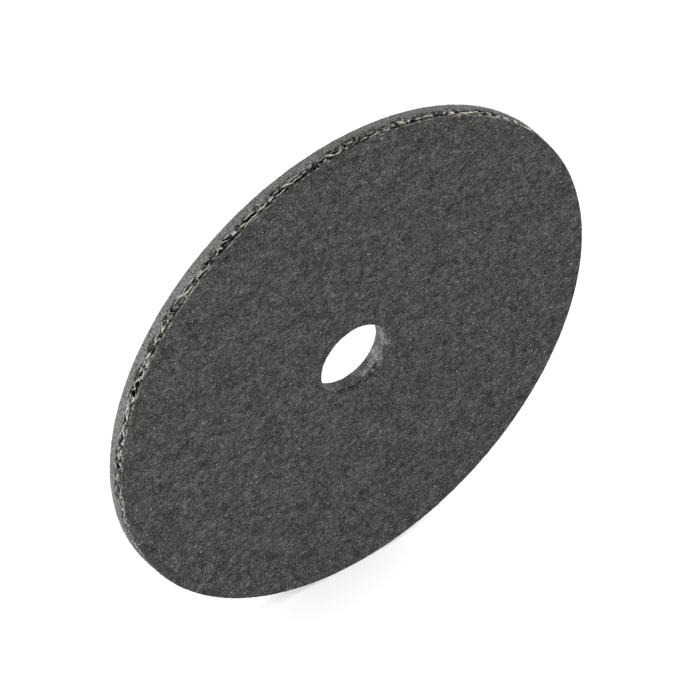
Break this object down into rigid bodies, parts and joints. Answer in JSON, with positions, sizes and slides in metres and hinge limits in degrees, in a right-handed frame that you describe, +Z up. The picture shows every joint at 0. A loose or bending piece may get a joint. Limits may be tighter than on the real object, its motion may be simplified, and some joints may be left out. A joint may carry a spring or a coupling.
{
  "type": "felt polishing wheel",
  "caption": "Thin laminated felt polishing wheel: a dense felt disc with a woven scrim behind its dark grey facing and a plain arbor bore.",
  "frame": {"origin": "centre of the wheel: the middle of the bore's length, on its axis", "axes": "+Y along the bore's axis towards the rear face, -Y is the polishing front face, +Z up with the wheel standing upright"},
  "size_m": [0.15, 0.0054, 0.15],
  "materials": {
    "facing_felt": "needled felt, matt, dark grey with pale fibres",
    "bond_adhesive": "dried adhesive film, matt, near black",
    "scrim_yarn": "twisted yarn, matt, cream to grey",
    "backing_felt": "dense felt, matt, mid grey on its cut edge"
  },
  "bodies": {
    "root": {"felt_facing": "facing_felt", "front_bond_film": "bond_adhesive", "scrim_warp": "scrim_yarn", "scrim_weft": "scrim_yarn", "rear_bond_film": "bond_adhesive", "felt_backing": "backing_felt"}
  },
  "joints": []
}
